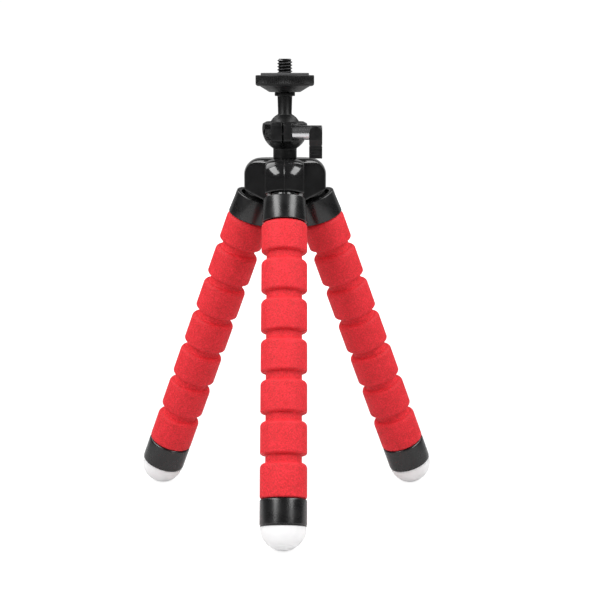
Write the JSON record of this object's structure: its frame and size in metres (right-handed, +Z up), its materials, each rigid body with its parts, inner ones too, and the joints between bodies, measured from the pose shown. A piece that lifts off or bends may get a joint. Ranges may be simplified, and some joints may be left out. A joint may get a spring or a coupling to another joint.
{
  "type": "flexible leg tripod",
  "caption": "Small table-top camera tripod: a lever-clamped ball head with a camera screw on a lobed hub, and bendable legs of ringed foam over wire, with domed feet.",
  "frame": {"origin": "on the floor, in the middle of the box round the three feet", "axes": "+Z up; -Y towards the front leg; +X towards the clamp lever's side"},
  "size_m": [0.1312, 0.1161, 0.1909],
  "materials": {
    "screw_black": "black oxide, satin",
    "pad_rubber": "matte rubber",
    "plastic_black": "satin moulded",
    "hub_gloss": "gloss moulded",
    "screw_silver": "plated, turned",
    "nut_steel": "plated",
    "wire": "drawn, soft temper",
    "foam_red": "fine-cell foam, matte",
    "foot_white": "moulded, satin"
  },
  "bodies": {
    "hub": {"hub": "hub_gloss", "ball_clamp": "plastic_black", "clamp_nut": "nut_steel", "neck_screw": "nut_steel", "leg_front_core_wire": "wire", "leg_left_core_wire": "wire", "leg_right_core_wire": "wire"},
    "ball": {"ball_stem": "plastic_black"},
    "plate": {"camera_stud": "screw_black", "rubber_pad": "pad_rubber", "knurled_disc": "plastic_black"},
    "lever": {"clamp_lever": "plastic_black", "clamp_screw": "screw_silver"},
    "leg_front_1": {"leg_front_collar": "plastic_black", "leg_front_foam_1": "foam_red"},
    "leg_front_2": {"leg_front_foam_2": "foam_red"},
    "leg_front_3": {"leg_front_foam_3": "foam_red"},
    "leg_front_4": {"leg_front_foam_4": "foam_red"},
    "leg_front_5": {"leg_front_foam_5": "foam_red"},
    "leg_front_6": {"leg_front_foam_6": "foam_red"},
    "leg_front_7": {"leg_front_foam_7": "foam_red", "leg_front_ferrule": "plastic_black", "leg_front_foot": "foot_white"},
    "leg_left_1": {"leg_left_collar": "plastic_black", "leg_left_foam_1": "foam_red"},
    "leg_left_2": {"leg_left_foam_2": "foam_red"},
    "leg_left_3": {"leg_left_foam_3": "foam_red"},
    "leg_left_4": {"leg_left_foam_4": "foam_red"},
    "leg_left_5": {"leg_left_foam_5": "foam_red"},
    "leg_left_6": {"leg_left_foam_6": "foam_red"},
    "leg_left_7": {"leg_left_foam_7": "foam_red", "leg_left_ferrule": "plastic_black", "leg_left_foot": "foot_white"},
    "leg_right_1": {"leg_right_collar": "plastic_black", "leg_right_foam_1": "foam_red"},
    "leg_right_2": {"leg_right_foam_2": "foam_red"},
    "leg_right_3": {"leg_right_foam_3": "foam_red"},
    "leg_right_4": {"leg_right_foam_4": "foam_red"},
    "leg_right_5": {"leg_right_foam_5": "foam_red"},
    "leg_right_6": {"leg_right_foam_6": "foam_red"},
    "leg_right_7": {"leg_right_foam_7": "foam_red", "leg_right_ferrule": "plastic_black", "leg_right_foot": "foot_white"}
  },
  "joints": [
    {"name": "ball_tilt", "type": "hinge", "parent": "hub", "child": "ball", "pos_m": [0, 0.01628, 0.16195], "axis": [-1, 0, 0], "range_deg": [-35, 35]},
    {"name": "plate_spin", "type": "hinge", "parent": "ball", "child": "plate", "pos_m": [0, 0.01628, 0.1772], "axis": [0, 0, 1], "continuous": true},
    {"name": "lever_turn", "type": "hinge", "parent": "hub", "child": "lever", "pos_m": [0.01015, 0.00668, 0.16075], "axis": [-1, 0, 0], "range_deg": [0, 180]},
    {"name": "leg_front_root", "type": "hinge", "parent": "hub", "child": "leg_front_1", "pos_m": [0, 0.00218, 0.133], "axis": [-1, 0, 0], "range_deg": [-12, 12], "deforming": ["leg_front_core_wire"]},
    {"name": "leg_front_bend_1", "type": "hinge", "parent": "leg_front_1", "child": "leg_front_2", "pos_m": [0, -0.00727, 0.11007], "axis": [-1, 0, 0], "range_deg": [-15, 15], "deforming": ["leg_front_core_wire"]},
    {"name": "leg_front_bend_2", "type": "hinge", "parent": "leg_front_2", "child": "leg_front_3", "pos_m": [0, -0.01359, 0.09472], "axis": [0, -0.9245, 0.3811], "range_deg": [-15, 15], "deforming": ["leg_front_core_wire"]},
    {"name": "leg_front_bend_3", "type": "hinge", "parent": "leg_front_3", "child": "leg_front_4", "pos_m": [0, -0.01992, 0.07937], "axis": [-1, 0, 0], "range_deg": [-15, 15], "deforming": ["leg_front_core_wire"]},
    {"name": "leg_front_bend_4", "type": "hinge", "parent": "leg_front_4", "child": "leg_front_5", "pos_m": [0, -0.02625, 0.06403], "axis": [0, -0.9245, 0.3811], "range_deg": [-15, 15], "deforming": ["leg_front_core_wire"]},
    {"name": "leg_front_bend_5", "type": "hinge", "parent": "leg_front_5", "child": "leg_front_6", "pos_m": [0, -0.03257, 0.04868], "axis": [-1, 0, 0], "range_deg": [-15, 15], "deforming": ["leg_front_core_wire"]},
    {"name": "leg_front_bend_6", "type": "hinge", "parent": "leg_front_6", "child": "leg_front_7", "pos_m": [0, -0.0389, 0.03333], "axis": [0, -0.9245, 0.3811], "range_deg": [-15, 15], "deforming": ["leg_front_core_wire"]},
    {"name": "leg_left_root", "type": "hinge", "parent": "hub", "child": "leg_left_1", "pos_m": [-0.01221, 0.02333, 0.133], "axis": [0.5, 0.866, 0], "range_deg": [-12, 12], "deforming": ["leg_left_core_wire"]},
    {"name": "leg_left_bend_1", "type": "hinge", "parent": "leg_left_1", "child": "leg_left_2", "pos_m": [-0.0204, 0.02806, 0.11007], "axis": [0.5, 0.866, 0], "range_deg": [-15, 15], "deforming": ["leg_left_core_wire"]},
    {"name": "leg_left_bend_2", "type": "hinge", "parent": "leg_left_2", "child": "leg_left_3", "pos_m": [-0.02587, 0.03122, 0.09472], "axis": [-0.8007, 0.4623, 0.3811], "range_deg": [-15, 15], "deforming": ["leg_left_core_wire"]},
    {"name": "leg_left_bend_3", "type": "hinge", "parent": "leg_left_3", "child": "leg_left_4", "pos_m": [-0.03135, 0.03438, 0.07937], "axis": [0.5, 0.866, 0], "range_deg": [-15, 15], "deforming": ["leg_left_core_wire"]},
    {"name": "leg_left_bend_4", "type": "hinge", "parent": "leg_left_4", "child": "leg_left_5", "pos_m": [-0.03683, 0.03755, 0.06403], "axis": [-0.8007, 0.4623, 0.3811], "range_deg": [-15, 15], "deforming": ["leg_left_core_wire"]},
    {"name": "leg_left_bend_5", "type": "hinge", "parent": "leg_left_5", "child": "leg_left_6", "pos_m": [-0.04231, 0.04071, 0.04868], "axis": [0.5, 0.866, 0], "range_deg": [-15, 15], "deforming": ["leg_left_core_wire"]},
    {"name": "leg_left_bend_6", "type": "hinge", "parent": "leg_left_6", "child": "leg_left_7", "pos_m": [-0.04779, 0.04387, 0.03333], "axis": [-0.8007, 0.4623, 0.3811], "range_deg": [-15, 15], "deforming": ["leg_left_core_wire"]},
    {"name": "leg_right_root", "type": "hinge", "parent": "hub", "child": "leg_right_1", "pos_m": [0.01221, 0.02333, 0.133], "axis": [0.5, -0.866, 0], "range_deg": [-12, 12], "deforming": ["leg_right_core_wire"]},
    {"name": "leg_right_bend_1", "type": "hinge", "parent": "leg_right_1", "child": "leg_right_2", "pos_m": [0.0204, 0.02806, 0.11007], "axis": [0.5, -0.866, 0], "range_deg": [-15, 15], "deforming": ["leg_right_core_wire"]},
    {"name": "leg_right_bend_2", "type": "hinge", "parent": "leg_right_2", "child": "leg_right_3", "pos_m": [0.02587, 0.03122, 0.09472], "axis": [0.8007, 0.4623, 0.3811], "range_deg": [-15, 15], "deforming": ["leg_right_core_wire"]},
    {"name": "leg_right_bend_3", "type": "hinge", "parent": "leg_right_3", "child": "leg_right_4", "pos_m": [0.03135, 0.03438, 0.07937], "axis": [0.5, -0.866, 0], "range_deg": [-15, 15], "deforming": ["leg_right_core_wire"]},
    {"name": "leg_right_bend_4", "type": "hinge", "parent": "leg_right_4", "child": "leg_right_5", "pos_m": [0.03683, 0.03755, 0.06403], "axis": [0.8007, 0.4623, 0.3811], "range_deg": [-15, 15], "deforming": ["leg_right_core_wire"]},
    {"name": "leg_right_bend_5", "type": "hinge", "parent": "leg_right_5", "child": "leg_right_6", "pos_m": [0.04231, 0.04071, 0.04868], "axis": [0.5, -0.866, 0], "range_deg": [-15, 15], "deforming": ["leg_right_core_wire"]},
    {"name": "leg_right_bend_6", "type": "hinge", "parent": "leg_right_6", "child": "leg_right_7", "pos_m": [0.04779, 0.04387, 0.03333], "axis": [0.8007, 0.4623, 0.3811], "range_deg": [-15, 15], "deforming": ["leg_right_core_wire"]}
  ]
}
